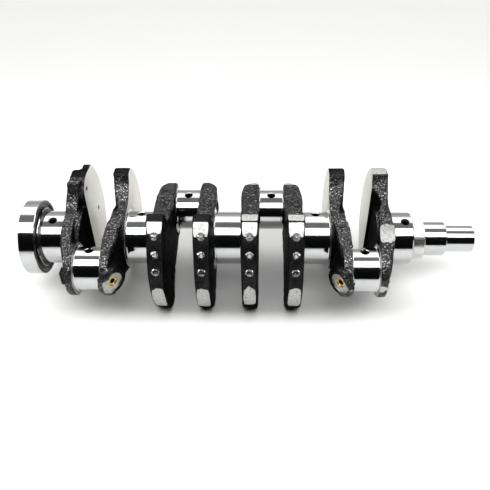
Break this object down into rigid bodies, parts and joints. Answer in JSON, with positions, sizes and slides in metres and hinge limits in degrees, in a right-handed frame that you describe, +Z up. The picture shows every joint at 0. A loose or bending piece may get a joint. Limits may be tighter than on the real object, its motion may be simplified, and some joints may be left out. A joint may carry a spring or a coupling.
{
  "type": "crankshaft",
  "caption": "Inline engine crankshaft: ground main journals and offset crankpins joined by counterweighted forged webs, with a rear flange, a stepped front nose and plugged oil galleries.",
  "frame": {"origin": "centre of the middle main journal, on the crank axis", "axes": "+X along the crank axis toward the nose, +Z up with the crankpins level in the XY plane, -Y toward the outer two crankpins"},
  "size_m": [0.4796, 0.1578, 0.1208],
  "materials": {
    "ground_steel": "ground and polished",
    "forged_skin": "rough dark forging skin with machined faces",
    "milled_steel": "milled, matt",
    "plug_brass": "plain"
  },
  "bodies": {
    "root": {"rear_flange": "ground_steel", "main_journal_1": "ground_steel", "main_journal_2": "ground_steel", "main_journal_3": "ground_steel", "main_journal_4": "ground_steel", "main_journal_5": "ground_steel", "crankpin_1": "ground_steel", "crankpin_2": "ground_steel", "crankpin_3": "ground_steel", "crankpin_4": "ground_steel", "web_1": "forged_skin", "web_2": "forged_skin", "web_3": "forged_skin", "web_4": "forged_skin", "web_5": "forged_skin", "web_6": "forged_skin", "web_7": "forged_skin", "web_8": "forged_skin", "pump_drive": "milled_steel", "seal_land": "ground_steel", "nose": "ground_steel", "oil_plug_1": "plug_brass", "oil_plug_2": "plug_brass", "oil_plug_3": "plug_brass", "oil_plug_4": "plug_brass"}
  },
  "joints": []
}
